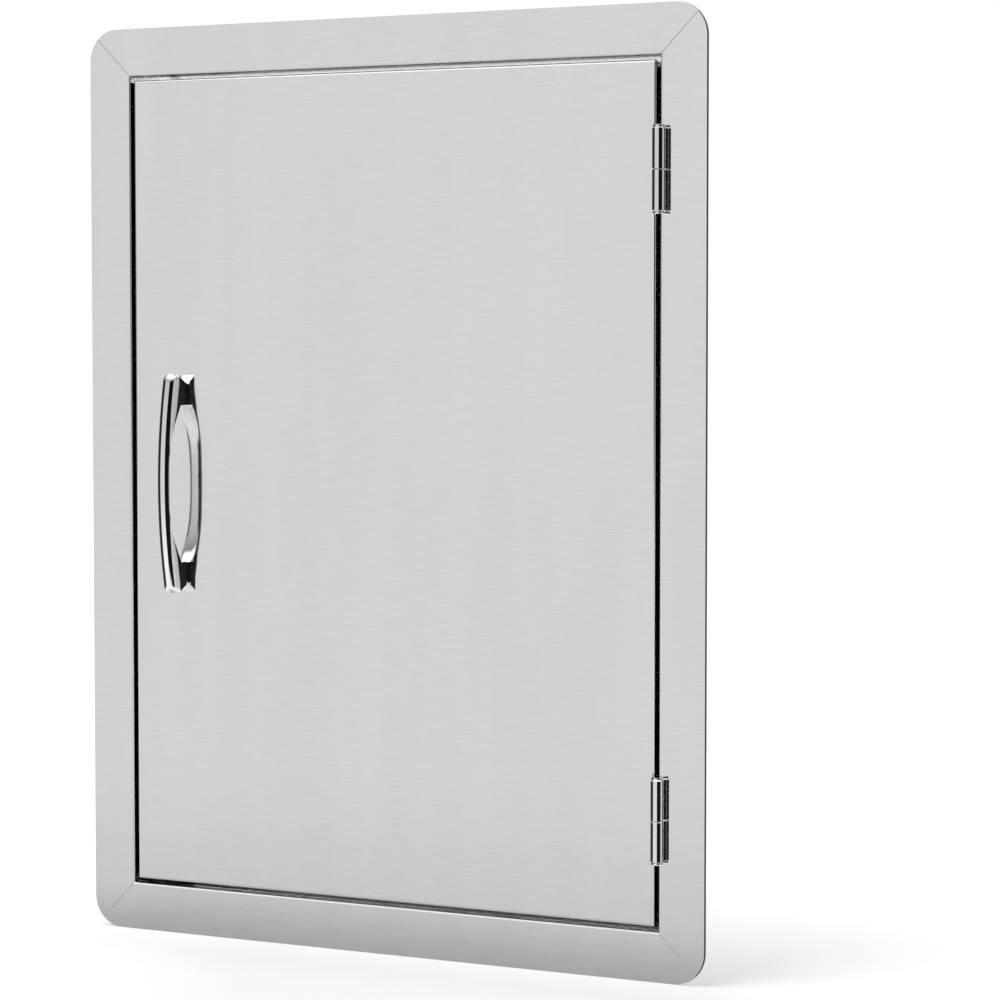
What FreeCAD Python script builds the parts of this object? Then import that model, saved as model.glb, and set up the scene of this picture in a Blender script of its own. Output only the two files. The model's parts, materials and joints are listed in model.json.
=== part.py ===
"""Vertical access door for an outdoor kitchen island, in stainless steel sheet.

Millimetres. The front faces -Y, +X is right and +Z is up. The origin is the centre of
the wall's cut-out, in the plane of the wall that the frame's flange lies against.
"""
import FreeCAD
import Part
import math
import os

V = FreeCAD.Vector

# Frame, one sheet bent into flange, sleeve wall and stop lip
overall_width = 457.2
overall_height = 609.6
flange_width = 31.75
corner_radius = 21.0
frame_sheet = 1.0
hem_width = 8.0
frame_bend_radius = 1.5
lip_bend_radius = 1.5
stop_lip_width = 19.0
seam_width = 0.6
seam_depth = 0.3

# Door, a pan closed by a liner
door_gap = 3.05
door_depth = 25.4
door_sheet = 1.0
door_bend_radius = 2.0
liner_sheet = 0.8
liner_flange = 12.0
liner_bend_radius = 1.5
brace_width = 60.0
brace_foot = 14.0
brace_sheet = 1.0
brace_end_gap = 22.0

# Room behind the closed door, for the bumpers and catches
stop_space = 12.7

# Hinges
hinge_offset = 102.6
hinge_length = 55.0
barrel_radius = 4.1
barrel_standoff = 0.4
hinge_sheet = 1.2
leaf_depth = 17.0
hinge_pin_radius = 2.5
pin_clearance = 0.05
cap_height = 1.8
washer_height = 0.5
washer_inset = 0.35
cap_gap = 0.1
leaf_clearance = 0.4

# Handle, a cast bow on two feet
handle_inset = 35.9
handle_length = 147.0
handle_height = 23.0
handle_end_height = 12.7
crown_radius = 8.0
waist_width = 9.0
shoulder_width = 12.6
shoulder_spread = 124.0
tip_width = 8.4
tip_bulge_width = 11.6
tip_bulge_spread = 137.0
tip_lean = 1.2
tip_height = 8.8
foot_spread = 133.8
foot_width = 16.0
foot_neck_width = 12.2
foot_neck_height = 3.0
foot_top_width = 11.6
foot_top_height = 10.5
foot_corner_width = 2.0
foot_corner_length = 4.0
gap_spread = 107.4
gap_shoulder_spread = 106.0
gap_shoulder_height = 5.0
gap_height = 17.2

# Slanted rear sides of the handle's grip, as distances from its foot line
flank_angle = 33.5
flank_waist_depth = 7.2
flank_waist_spread = 40.0
flank_bend_depth = 5.4
flank_bend_spread = 66.0
flank_end_spread = 100.0
handle_hole_radius = 2.1
handle_hole_depth = 8.0
backing_length = 150.0
backing_width = 24.0
backing_sheet = 2.0
backing_corner = 4.0

# Handle screws
handle_screw_radius = 2.0
handle_screw_head_radius = 4.0
handle_screw_head_height = 2.8
handle_screw_reach = 6.5

# Magnetic catches and the plates they hold
catch_end_inset = 100.0
catch_edge_inset = 8.0
catch_length = 46.0
catch_width = 14.0
catch_height = 11.0
catch_ear_length = 8.0
catch_ear_height = 4.0
catch_corner = 2.5
catch_air_gap = 0.3
magnet_length = 20.0
magnet_width = 6.0
magnet_height = 7.0
pole_sheet = 1.5
pole_length = 24.0
pole_proud = 1.0
strike_length = 38.0
strike_width = 13.0
strike_corner = 2.0

# Rubber bumpers, pushed into the stop lip
bumper_end_inset = 35.0
bumper_edge_inset = 8.0
bumper_radius = 6.0
bumper_air_gap = 0.3
bumper_neck_radius = 2.4
bumper_barb_radius = 3.4
bumper_barb_length = 5.0

# Screws of the catches
catch_screw_radius = 1.7
catch_screw_head_radius = 3.2
catch_screw_head_height = 1.9
catch_screw_reach = 6.0

# Holes for the installer's screws, through the sleeve walls
mount_hole_radius = 2.6
mount_hole_end_inset = 73.05

# Clearances between a fastener and its hole, and between pieces that slide in
hole_clearance = 0.15
slip_clearance = 0.1

# How far a cutter runs past the faces that it cuts, and the smallest length that counts
cut_margin = 1.0
fine = 0.001

# Planes and places that follow from the sizes above
hem_depth = 2 * frame_sheet
front_y = -hem_depth
opening_width = overall_width - 2 * flange_width
opening_height = overall_height - 2 * flange_width
door_width = opening_width - 2 * door_gap
door_height = opening_height - 2 * door_gap
door_back_y = front_y + door_depth
lip_front_y = door_back_y + stop_space
sleeve_back_y = lip_front_y + frame_sheet
hinge_x = door_width / 2 + barrel_radius
hinge_y = front_y - barrel_standoff - barrel_radius
hinge_z = overall_height / 2 - hinge_offset
handle_x = -door_width / 2 + handle_inset
lip_piece_x = -door_width / 2 + catch_edge_inset
bumper_x = -door_width / 2 + bumper_edge_inset
leaf_back_y = front_y + leaf_depth
lip_catch_z = door_height / 2 - catch_end_inset
lip_bumper_z = door_height / 2 - bumper_end_inset
mount_hole_z = opening_height / 2 - mount_hole_end_inset


def save(shape, node):
    """Write one sub-part under its node name."""
    shape.exportStep("parts/" + node + ".step")
    print(node, len(shape.Solids), "solid", round(shape.Volume, 1), "mm3")


def box(x0, x1, y0, y1, z0, z1):
    """Box between two corners."""
    return Part.makeBox(x1 - x0, y1 - y0, z1 - z0, V(x0, y0, z0))


def rod(radius, start, direction, length):
    """Cylinder from a start point along a direction."""
    return Part.makeCylinder(radius, length, start, direction)


def polygon_face(points):
    """Flat face with straight sides through the points."""
    return Part.Face(Part.makePolygon(points + [points[0]]))


def rounded_rectangle(width, height, radius, y):
    """Face in the plane at y, centred on the Y axis, with round corners."""
    plate = box(-width / 2, width / 2, y, y + cut_margin, -height / 2, height / 2)
    plate = plate.makeFillet(radius, corners_along_y(plate))
    front = [f for f in plate.Faces if abs(f.CenterOfMass.y - y) < fine]
    return front[0]


def edges_along(shape, axis, test):
    """Straight edges parallel to an axis whose centre passes a test."""
    found = []
    for edge in shape.Edges:
        if isinstance(edge.Curve, Part.Line):
            along = abs(edge.tangentAt(edge.FirstParameter).dot(axis)) > 1 - fine
            if along and test(edge.CenterOfMass):
                found.append(edge)
    return found


def corners_along_y(shape):
    """The edges of a plate that run through its thickness."""
    return edges_along(shape, V(0, 1, 0), lambda centre: True)


def drill(radius, x, y, z, depth):
    """Cutter for a hole along Y that starts before y and ends beyond its depth."""
    return rod(radius, V(x, y - cut_margin, z), V(0, 1, 0), depth + 2 * cut_margin)


def group(shapes):
    """Several separate solids in one node."""
    return Part.makeCompound(shapes)


# Frame

def frame_section(length):
    """Straight bar of the frame's section, along X, for a top rail.

    The outer edge of the flange lies at z = 0 and the section runs down to -z.
    """
    half = length / 2
    flange = box(-half, half, front_y, front_y + frame_sheet, -flange_width - frame_sheet, 0)
    hem = box(-half, half, front_y + frame_sheet, front_y + hem_depth, -hem_width, 0)
    wall_outer = -flange_width + frame_sheet
    wall = box(-half, half, front_y, sleeve_back_y, -flange_width, wall_outer)
    lip_edge = -flange_width - stop_lip_width
    lip = box(-half, half, lip_front_y, sleeve_back_y, lip_edge, wall_outer)
    flange = flange.common(box(-half, half, front_y, sleeve_back_y, -flange_width, 0))
    bar = flange.fuse([hem, wall, lip]).removeSplitter()

    def near(y, z):
        return lambda c: abs(c.y - y) < fine and abs(c.z - z) < fine

    along = V(1, 0, 0)
    inner_radius = frame_bend_radius - frame_sheet
    bar = bar.makeFillet(frame_bend_radius, edges_along(bar, along, near(front_y, -flange_width)))
    crease = near(front_y + frame_sheet, wall_outer)
    bar = bar.makeFillet(inner_radius, edges_along(bar, along, crease))
    return bar.makeFillet(lip_bend_radius, edges_along(bar, along, near(sleeve_back_y, wall_outer)))


def mitre_wedge(length):
    """Space that one member takes between its two mitres, along X."""
    half = length / 2
    reach = flange_width + stop_lip_width + frame_sheet
    y = front_y - cut_margin
    corners = [V(-half, y, 0), V(half, y, 0), V(half - reach, y, -reach), V(-half + reach, y, -reach)]
    return polygon_face(corners).extrude(V(0, sleeve_back_y - y + cut_margin, 0))


def corner_hem():
    """Hem that follows the flange's round outline, as a ring."""
    outer = rounded_rectangle(overall_width, overall_height, corner_radius, front_y + frame_sheet)
    inner_width = overall_width - 2 * hem_width
    inner_height = overall_height - 2 * hem_width
    inner_radius = corner_radius - hem_width
    inner = rounded_rectangle(inner_width, inner_height, inner_radius, front_y + frame_sheet)
    return outer.extrude(V(0, frame_sheet, 0)).cut(inner.extrude(V(0, frame_sheet, 0)))


def frame_outline():
    """Block that trims the members to the frame's round corners."""
    outline = rounded_rectangle(overall_width, overall_height, corner_radius, front_y)
    return outline.extrude(V(0, sleeve_back_y - front_y, 0))


def seam_groove(sign_x, sign_z):
    """Shallow V along a mitre, where the two members are welded and dressed."""
    half = seam_width / 2
    y = front_y - fine
    profile = [V(-half, y, 0), V(half, y, 0), V(0, front_y + seam_depth, 0)]
    reach = flange_width * math.sqrt(2)
    groove = polygon_face(profile).extrude(V(0, 0, reach))
    turn = math.degrees(math.atan2(-sign_x, -sign_z))
    groove.rotate(V(0, 0, 0), V(0, 1, 0), turn)
    groove.translate(V(sign_x * overall_width / 2, 0, sign_z * overall_height / 2))
    return groove


def mount_holes(side):
    """Cutters for the installer's screws through one stile's sleeve wall."""
    y = (door_back_y + lip_front_y) / 2
    start_x = side * (opening_width / 2 - cut_margin)
    along = V(side, 0, 0)
    length = frame_sheet + 2 * cut_margin
    return [rod(mount_hole_radius, V(start_x, y, z), along, length) for z in (-mount_hole_z, mount_hole_z)]


def frame_member(length, distance, turn):
    """One mitred member: made as a top rail, then turned about Y into its place."""
    bar = frame_section(length).common(mitre_wedge(length))
    bar.translate(V(0, 0, distance))
    bar.rotate(V(0, 0, 0), V(0, 1, 0), turn)
    wedge = mitre_wedge(length)
    wedge.translate(V(0, 0, distance))
    wedge.rotate(V(0, 0, 0), V(0, 1, 0), turn)
    bar = bar.common(frame_outline()).fuse(corner_hem().common(wedge))
    grooves = [seam_groove(sx, sz) for sx in (-1, 1) for sz in (-1, 1)]
    return bar.cut(grooves).removeSplitter()


# Hinges

def hinge_halves(z_middle):
    """The door half, the frame half, the washer between them and the pin.

    Each leaf lies flat against its own wall in the gap, where it is spot-welded.
    """
    body_half = hinge_length / 2 - cap_height - cap_gap
    z_low = z_middle - body_half
    z_high = z_middle + body_half
    seam = washer_height / 2

    def on_axis(radius, z0, z1):
        return rod(radius, V(hinge_x, hinge_y, z0), V(0, 0, 1), z1 - z0)

    bore = on_axis(hinge_pin_radius + pin_clearance, z_low - cut_margin, z_high + cut_margin)
    leaf_front_y = hinge_y + barrel_radius + leaf_clearance

    def half(x0, x1, z0, z1):
        plate = box(x0, x1, leaf_front_y, leaf_back_y, z_low, z_high)
        arm = box(x0, x1, hinge_y, leaf_front_y, z0, z1)
        return on_axis(barrel_radius, z0, z1).fuse([plate, arm]).cut(bore).removeSplitter()

    door_wall = door_width / 2
    frame_wall = opening_width / 2
    door_half = half(door_wall, door_wall + hinge_sheet, z_middle + seam, z_high)
    frame_half = half(frame_wall - hinge_sheet, frame_wall, z_low, z_middle - seam)

    washer = on_axis(barrel_radius - washer_inset, z_middle - seam, z_middle + seam).cut(bore)
    shaft_low = z_low - cap_gap
    shaft_high = z_high + cap_gap
    pin = on_axis(hinge_pin_radius, shaft_low, shaft_high)
    caps = [on_axis(barrel_radius, shaft_low - cap_height, shaft_low),
            on_axis(barrel_radius, shaft_high, shaft_high + cap_height)]
    return door_half, frame_half, washer, pin.fuse(caps).removeSplitter()


# Door

def open_tray(width, height, y_front, y_back, sheet, radius):
    """Sheet tray with its floor at y_front and its walls running to y_back.

    The floor's four edges are bent to the radius, and the corners are welded and dressed.
    """
    way = 1 if y_back > y_front else -1

    def block(inset, y0, y1, bend):
        half_w = width / 2 - inset
        half_h = height / 2 - inset
        solid = box(-half_w, half_w, min(y0, y1), max(y0, y1), -half_h, half_h)
        floor = [e for e in solid.Edges if abs(e.CenterOfMass.y - y0) < fine]
        return solid.makeFillet(bend, floor)

    hollow = block(sheet, y_front + way * sheet, y_back + way, radius - sheet)
    return block(0, y_front, y_back, radius).cut(hollow)


def handle_foot_places():
    """Heights of the middles of the two feet, below and above the door's middle."""
    z = (foot_spread + gap_spread) / 4
    return (-z, z)


def door_skin():
    """Front pan, with holes for the handle's screws."""
    pan = open_tray(door_width, door_height, front_y, door_back_y, door_sheet, door_bend_radius)
    radius = handle_screw_radius + hole_clearance
    return pan.cut([drill(radius, handle_x, front_y, z, door_sheet) for z in handle_foot_places()])


def door_liner():
    """Back tray that slides between the pan's walls, flush with their edges."""
    width = door_width - 2 * door_sheet - 2 * slip_clearance
    height = door_height - 2 * door_sheet - 2 * slip_clearance
    front = door_back_y - liner_flange
    return open_tray(width, height, door_back_y, front, liner_sheet, liner_bend_radius)


def door_brace():
    """Upright hat-section brace between the front pan and the liner."""
    y0 = front_y + door_sheet
    y1 = door_back_y - liner_sheet
    half = brace_width / 2
    crown = half - brace_foot
    t = brace_sheet
    outline = [V(-half, y0, 0), V(-crown, y0, 0), V(-crown, y1 - t, 0), V(crown, y1 - t, 0),
               V(crown, y0, 0), V(half, y0, 0), V(half, y0 + t, 0), V(crown + t, y0 + t, 0),
               V(crown + t, y1, 0), V(-crown - t, y1, 0), V(-crown - t, y0 + t, 0), V(-half, y0 + t, 0)]
    length = door_height - 2 * brace_end_gap
    bar = polygon_face(outline).extrude(V(0, 0, length))
    bar.translate(V(0, 0, -length / 2))
    bends = edges_along(bar, V(0, 0, 1), lambda c: abs(c.y - y1) < fine)
    return bar.makeFillet(t, bends)


# Handle

def arc_through(a, b, c):
    """Edge of the round arc from a through b to c."""
    return Part.Arc(a, b, c).toShape()


def lines_through(points):
    """Straight edges from each point to the next."""
    return Part.makePolygon(points).Edges


def handle_crown():
    """Bar with the bow's crowned front, turned about an axis behind the door."""
    half_length = handle_length / 2
    drop = handle_height - handle_end_height
    sweep_radius = (half_length ** 2 + drop ** 2) / (2 * drop)
    front = front_y - handle_height
    edge = shoulder_width / 2 + fine
    sag = crown_radius - math.sqrt(crown_radius ** 2 - edge ** 2)
    left = V(handle_x - edge, front + sag, 0)
    right = V(handle_x + edge, front + sag, 0)
    depth = V(0, handle_height, 0)
    crown = arc_through(left, V(handle_x, front, 0), right)
    section = Part.Face(Part.Wire([crown] + lines_through([right, right + depth, left + depth, left])))
    axis_point = V(0, front + sweep_radius, 0)
    half_angle = math.degrees(math.asin((half_length + edge) / sweep_radius))
    section.rotate(axis_point, V(1, 0, 0), -half_angle)
    return section.revolve(axis_point, V(1, 0, 0), 2 * half_angle)


def handle_outline():
    """Block with the bow's outline as seen from the front: narrow waist, round tips."""
    y0 = front_y - handle_height - cut_margin
    waist = waist_width / 2
    shoulder = shoulder_width / 2
    z_shoulder = shoulder_spread / 2
    bulge = tip_bulge_width / 2
    z_bulge = tip_bulge_spread / 2
    tip = tip_width / 2
    z_tip = handle_length / 2

    def at(x, z):
        return V(handle_x + x, y0, z)

    right = [arc_through(at(tip, -z_tip), at(bulge, -z_bulge), at(shoulder, -z_shoulder)),
             arc_through(at(shoulder, -z_shoulder), at(waist, 0), at(shoulder, z_shoulder)),
             arc_through(at(shoulder, z_shoulder), at(bulge, z_bulge), at(tip, z_tip))]
    left = [arc_through(at(-tip, z_tip), at(-bulge, z_bulge), at(-shoulder, z_shoulder)),
            arc_through(at(-shoulder, z_shoulder), at(-waist, 0), at(-shoulder, -z_shoulder)),
            arc_through(at(-shoulder, -z_shoulder), at(-bulge, -z_bulge), at(-tip, -z_tip))]
    top = [Part.makeLine(at(tip, z_tip), at(-tip, z_tip))]
    bottom = [Part.makeLine(at(-tip, -z_tip), at(tip, -z_tip))]
    face = Part.Face(Part.Wire(right + top + left + bottom))
    return face.extrude(V(0, handle_height, 0))


def grip_flank(side):
    """Block that slants one rear side of the grip, turned by the flank's angle.

    Its edge is straight along the waist, bends outward and then runs on to the feet.
    """
    z_waist = flank_waist_spread / 2
    z_bend = flank_bend_spread / 2
    z_end = flank_end_spread / 2
    z_tip = handle_length / 2
    slope = flank_bend_depth / (z_end - z_bend)
    far = 2 * handle_height

    def at(x, z):
        return V(handle_x + x, front_y - far, z)

    upper = [at(-flank_waist_depth, z_waist), at(-flank_bend_depth, z_bend), at(0, z_end)]
    lower = [at(0, -z_end), at(-flank_bend_depth, -z_bend), at(-flank_waist_depth, -z_waist)]
    beyond = slope * (z_tip - z_end)
    rest = lines_through([upper[-1], at(beyond, z_tip), at(-far, z_tip), at(-far, -z_tip),
                          at(beyond, -z_tip), lower[0]])
    waist = Part.makeLine(lower[-1], upper[0])
    face = Part.Face(Part.Wire([arc_through(*lower), waist, arc_through(*upper)] + rest))
    block = face.extrude(V(0, 2 * far, 0))
    block.rotate(V(handle_x, front_y, 0), V(0, 0, 1), flank_angle)
    if side < 0:
        block = block.mirror(V(handle_x, 0, 0), V(1, 0, 0))
    return block


def handle_profile():
    """Block with the handle's side view: slanted tips over narrower feet."""
    base = foot_spread / 2
    tip = handle_length / 2
    front = handle_height + cut_margin
    points = [(-base, 0), (base, 0), (tip, tip_height), (tip - tip_lean, handle_end_height),
              (tip - tip_lean, front), (-tip + tip_lean, front),
              (-tip + tip_lean, handle_end_height), (-tip, tip_height)]
    face = polygon_face([V(handle_x - foot_width, front_y - d, z) for z, d in points])
    return face.extrude(V(2 * foot_width, 0, 0))


def finger_gap():
    """Block that opens the handle for the fingers: an ellipse on two slanted sides."""
    x = handle_x - foot_width
    y_shoulder = front_y - gap_shoulder_height
    reach = gap_shoulder_spread / 2
    rise = gap_height - gap_shoulder_height
    ellipse = Part.Ellipse(V(x, y_shoulder, reach), V(x, y_shoulder - rise, 0), V(x, y_shoulder, 0))
    vault = Part.Edge(ellipse, 0, math.pi)
    first = vault.Vertexes[0].Point
    last = vault.Vertexes[-1].Point
    side = math.copysign(1, first.z)
    z_foot = gap_spread / 2
    y_end = front_y + cut_margin
    rest = lines_through([last, V(x, front_y, -side * z_foot), V(x, y_end, -side * z_foot),
                          V(x, y_end, side * z_foot), V(x, front_y, side * z_foot), first])
    face = Part.Face(Part.Wire([vault] + rest))
    return face.extrude(V(2 * foot_width, 0, 0))


def handle_foot(side):
    """Block for one foot: slim under the bow, flared where it meets the door."""
    z0 = side * flank_end_spread / 2
    z1 = side * handle_length / 2
    z_corner = z1 - side * foot_corner_length

    def ring(width, height):
        y = front_y - height
        x0 = handle_x - width / 2
        x1 = handle_x + width / 2
        corners = [V(x0, y, z0), V(x1, y, z0), V(x1, y, z_corner), V(x1 - foot_corner_width, y, z1),
                   V(x0 + foot_corner_width, y, z1), V(x0, y, z_corner)]
        return Part.makePolygon(corners + [corners[0]])

    rings = [ring(foot_width, 0), ring(foot_neck_width, foot_neck_height),
             ring(foot_top_width, foot_top_height)]
    return Part.makeLoft(rings, True, True)


def handle():
    """Cast bow handle: crowned front, narrow waist, slanted tips, two tapped feet."""
    above_feet = box(handle_x - foot_width, handle_x + foot_width, front_y - handle_height - cut_margin,
                     front_y - gap_shoulder_height, -handle_length, handle_length)
    bow = handle_crown().common(handle_outline()).common(above_feet)
    bow = bow.common(grip_flank(-1)).common(grip_flank(1))
    body = bow.fuse([handle_foot(-1), handle_foot(1)]).common(handle_profile()).cut(finger_gap())
    depth = handle_hole_depth + cut_margin
    bores = []
    for z in handle_foot_places():
        start = V(handle_x, front_y + cut_margin, z)
        bores.append(rod(handle_hole_radius, start, V(0, -1, 0), depth))
    return body.removeSplitter().cut(bores)


def handle_backing():
    """Plate inside the pan that spreads the handle's load."""
    y0 = front_y + door_sheet
    plate = box(handle_x - backing_width / 2, handle_x + backing_width / 2, y0, y0 + backing_sheet,
                -backing_length / 2, backing_length / 2)
    plate = plate.makeChamfer(backing_corner, corners_along_y(plate))
    radius = handle_screw_radius + hole_clearance
    return plate.cut([drill(radius, handle_x, y0, z, backing_sheet) for z in handle_foot_places()])


def hex_screw(x, y_seat, z, way, head_radius, head_height, radius, length):
    """Hexagon screw under whose head the face at y_seat lies; way is its point's side."""
    seat = V(x, y_seat, z)
    turns = [math.radians(60 * i) for i in range(6)]
    corners = [seat + V(head_radius * math.cos(a), 0, head_radius * math.sin(a)) for a in turns]
    head = polygon_face(corners).extrude(V(0, -way * head_height, 0))
    return head.fuse(rod(radius, seat, V(0, way, 0), length)).removeSplitter()


def handle_screw(z):
    """Screw that pulls a foot of the handle down from inside the pan."""
    length = backing_sheet + door_sheet + handle_screw_reach
    return hex_screw(handle_x, front_y + door_sheet + backing_sheet, z, -1, handle_screw_head_radius,
                     handle_screw_head_height, handle_screw_radius, length)


# Catches, strikes and bumpers

def catch_screw_places(z):
    """Heights of the two screws of the catch at z."""
    pitch = (catch_length - catch_ear_length) / 2
    return (z - pitch, z + pitch)


def catch(z):
    """Housing, magnet and the two pole plates of one catch."""
    y_face = lip_front_y - catch_height + pole_proud
    half_body = catch_length / 2 - catch_ear_length
    half = catch_width / 2
    body = box(lip_piece_x - half, lip_piece_x + half, y_face, lip_front_y, z - half_body, z + half_body)
    ears = box(lip_piece_x - half, lip_piece_x + half, lip_front_y - catch_ear_height, lip_front_y,
               z - catch_length / 2, z + catch_length / 2)
    ears = ears.makeChamfer(catch_corner, corners_along_y(ears))
    slot_half = magnet_width / 2 + pole_sheet + slip_clearance
    slot_depth = magnet_height + pole_proud
    y_pole = lip_front_y - catch_height
    slot_end = pole_length / 2 + slip_clearance
    slot = box(lip_piece_x - slot_half, lip_piece_x + slot_half, y_pole, y_pole + slot_depth,
               z - slot_end, z + slot_end)
    radius = catch_screw_radius + hole_clearance
    y_ear = lip_front_y - catch_ear_height
    holes = [drill(radius, lip_piece_x, y_ear, spot, catch_ear_height) for spot in catch_screw_places(z)]
    housing = body.fuse(ears).cut([slot] + holes).removeSplitter()
    magnet = box(lip_piece_x - magnet_width / 2, lip_piece_x + magnet_width / 2, y_pole + pole_proud,
                 y_pole + slot_depth, z - magnet_length / 2, z + magnet_length / 2)
    poles = []
    for side in (-1, 1):
        near = lip_piece_x + side * magnet_width / 2
        far = near + side * pole_sheet
        poles.append(box(min(near, far), max(near, far), y_pole, y_pole + slot_depth,
                         z - pole_length / 2, z + pole_length / 2))
    return housing, magnet, poles


def strike(z):
    """Steel plate, spot-welded on the liner, that a catch holds across a thin air gap."""
    y_face = lip_front_y - catch_height - catch_air_gap
    plate = box(lip_piece_x - strike_width / 2, lip_piece_x + strike_width / 2, door_back_y, y_face,
                z - strike_length / 2, z + strike_length / 2)
    return plate.makeChamfer(strike_corner, corners_along_y(plate))


def catch_screw(z):
    """Screw through a catch's ear and the stop lip."""
    length = catch_ear_height + frame_sheet + catch_screw_reach
    return hex_screw(lip_piece_x, lip_front_y - catch_ear_height, z, 1, catch_screw_head_radius,
                     catch_screw_head_height, catch_screw_radius, length)


def bumper(z):
    """Push-in rubber bumper: round post, neck through the lip and barb behind it."""
    top = door_back_y + bumper_air_gap
    tip = sleeve_back_y + bumper_barb_length
    outline = [(0, top), (bumper_radius, top), (bumper_radius, lip_front_y),
               (bumper_neck_radius, lip_front_y), (bumper_neck_radius, sleeve_back_y),
               (bumper_barb_radius, sleeve_back_y), (0, tip)]
    face = polygon_face([V(r, y, 0) for r, y in outline])
    post = face.revolve(V(0, 0, 0), V(0, 1, 0), 360)
    post.translate(V(bumper_x, 0, z))
    return post


def lip_holes():
    """Cutters through the closing side's stop lip, for the catches and the bumpers."""
    radius = catch_screw_radius + hole_clearance
    spots = catch_screw_places(-lip_catch_z) + catch_screw_places(lip_catch_z)
    cutters = [drill(radius, lip_piece_x, lip_front_y, z, frame_sheet) for z in spots]
    radius = bumper_neck_radius + hole_clearance
    spots = (-lip_bumper_z, lip_bumper_z)
    return cutters + [drill(radius, bumper_x, lip_front_y, z, frame_sheet) for z in spots]


def main():
    os.makedirs("parts", exist_ok=True)
    rail_distance = overall_height / 2
    stile_distance = overall_width / 2
    save(frame_member(overall_width, rail_distance, 0), "top_rail")
    save(frame_member(overall_width, rail_distance, 180), "bottom_rail")
    left = frame_member(overall_height, stile_distance, -90)
    right = frame_member(overall_height, stile_distance, 90)
    save(left.cut(lip_holes() + mount_holes(-1)), "left_stile")
    save(right.cut(mount_holes(1)), "right_stile")

    save(door_skin(), "door_skin")
    save(door_liner(), "door_liner")
    save(door_brace(), "door_brace")

    for name, z in (("upper", hinge_z), ("lower", -hinge_z)):
        door_half, frame_half, washer, pin = hinge_halves(z)
        save(door_half, name + "_hinge_door_leaf")
        save(frame_half, name + "_hinge_frame_leaf")
        save(washer, name + "_hinge_washer")
        save(pin, name + "_hinge_pin")

    save(handle(), "handle")
    save(handle_backing(), "handle_backing_plate")
    save(group([handle_screw(z) for z in handle_foot_places()]), "handle_screws")

    for name, z in (("upper", lip_catch_z), ("lower", -lip_catch_z)):
        housing, magnet, poles = catch(z)
        save(housing, name + "_catch_housing")
        save(magnet, name + "_catch_magnet")
        save(group(poles), name + "_catch_poles")
        save(strike(z), name + "_strike_plate")
    screw_spots = catch_screw_places(-lip_catch_z) + catch_screw_places(lip_catch_z)
    save(group([catch_screw(z) for z in screw_spots]), "catch_screws")
    save(group([bumper(-lip_bumper_z), bumper(lip_bumper_z)]), "door_bumpers")


main()
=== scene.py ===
import bpy
import bmesh
import json
import math
from mathutils import Matrix, Vector


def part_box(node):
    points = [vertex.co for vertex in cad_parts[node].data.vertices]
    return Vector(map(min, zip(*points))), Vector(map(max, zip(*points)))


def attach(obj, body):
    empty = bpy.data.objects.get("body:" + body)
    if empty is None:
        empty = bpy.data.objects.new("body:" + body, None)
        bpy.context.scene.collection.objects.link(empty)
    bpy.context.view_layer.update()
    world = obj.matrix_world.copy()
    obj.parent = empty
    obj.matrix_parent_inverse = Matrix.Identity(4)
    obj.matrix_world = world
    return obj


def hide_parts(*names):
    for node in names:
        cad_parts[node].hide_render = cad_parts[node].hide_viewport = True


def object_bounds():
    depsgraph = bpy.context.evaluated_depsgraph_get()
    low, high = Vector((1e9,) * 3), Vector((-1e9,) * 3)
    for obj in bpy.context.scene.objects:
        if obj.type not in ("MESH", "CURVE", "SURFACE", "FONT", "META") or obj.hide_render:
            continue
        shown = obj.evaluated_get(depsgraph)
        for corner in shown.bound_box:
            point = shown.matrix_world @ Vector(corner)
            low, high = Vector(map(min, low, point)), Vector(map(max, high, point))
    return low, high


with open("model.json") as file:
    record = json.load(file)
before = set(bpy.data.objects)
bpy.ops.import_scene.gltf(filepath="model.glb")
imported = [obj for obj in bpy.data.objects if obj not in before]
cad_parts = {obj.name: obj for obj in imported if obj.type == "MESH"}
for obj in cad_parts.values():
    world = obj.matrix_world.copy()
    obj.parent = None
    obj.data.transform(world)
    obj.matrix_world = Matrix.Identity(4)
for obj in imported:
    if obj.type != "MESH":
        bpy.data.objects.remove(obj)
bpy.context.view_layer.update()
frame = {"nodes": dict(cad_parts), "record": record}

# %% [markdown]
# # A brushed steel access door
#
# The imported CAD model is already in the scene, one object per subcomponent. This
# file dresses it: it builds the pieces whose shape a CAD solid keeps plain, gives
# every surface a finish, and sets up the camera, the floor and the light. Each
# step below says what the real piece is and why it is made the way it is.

nodes = frame["nodes"]
mm = 0.001
front_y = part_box("door_skin")[0].y

# %% [markdown]
# ## Camera
#
# The picture was taken from the hinge side, a little above the middle of the
# door, with a long lens, so the upright edges stay nearly parallel. The place and
# the direction below were solved from the straight edges of the frame and of the
# door, which is far more exact than turning a camera by eye.

# %% Camera
camera_place = Vector((1.0518, -1.8305, 0.1077))
view_direction = Vector((-0.46673, 0.88272, -0.05441))
sensor_width = 36.0
focal_pixels = 3252.9
picture_width = 1000

camera_data = bpy.data.cameras.new("camera")
camera_data.sensor_width = sensor_width
camera_data.lens = sensor_width * focal_pixels / picture_width
camera = bpy.data.objects.new("camera", camera_data)
camera.location = camera_place
camera.rotation_mode = "QUATERNION"
camera.rotation_quaternion = view_direction.to_track_quat("-Z", "Y")
bpy.context.scene.collection.objects.link(camera)
bpy.context.scene.camera = camera
bpy.context.scene.view_settings.view_transform = "Standard"
print("lens", round(camera_data.lens, 1), "mm")

# %% [markdown]
# ## Small helpers for node trees
#
# A material is a short list of nodes and links. These helpers keep that list
# readable: one adds a node and fills its sockets by name or by number, and the
# others add the sums, steps and mixes that every pattern below is made of.

# %% Node helpers
def grey(level):
    return (level, level, level, 1.0)


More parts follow.
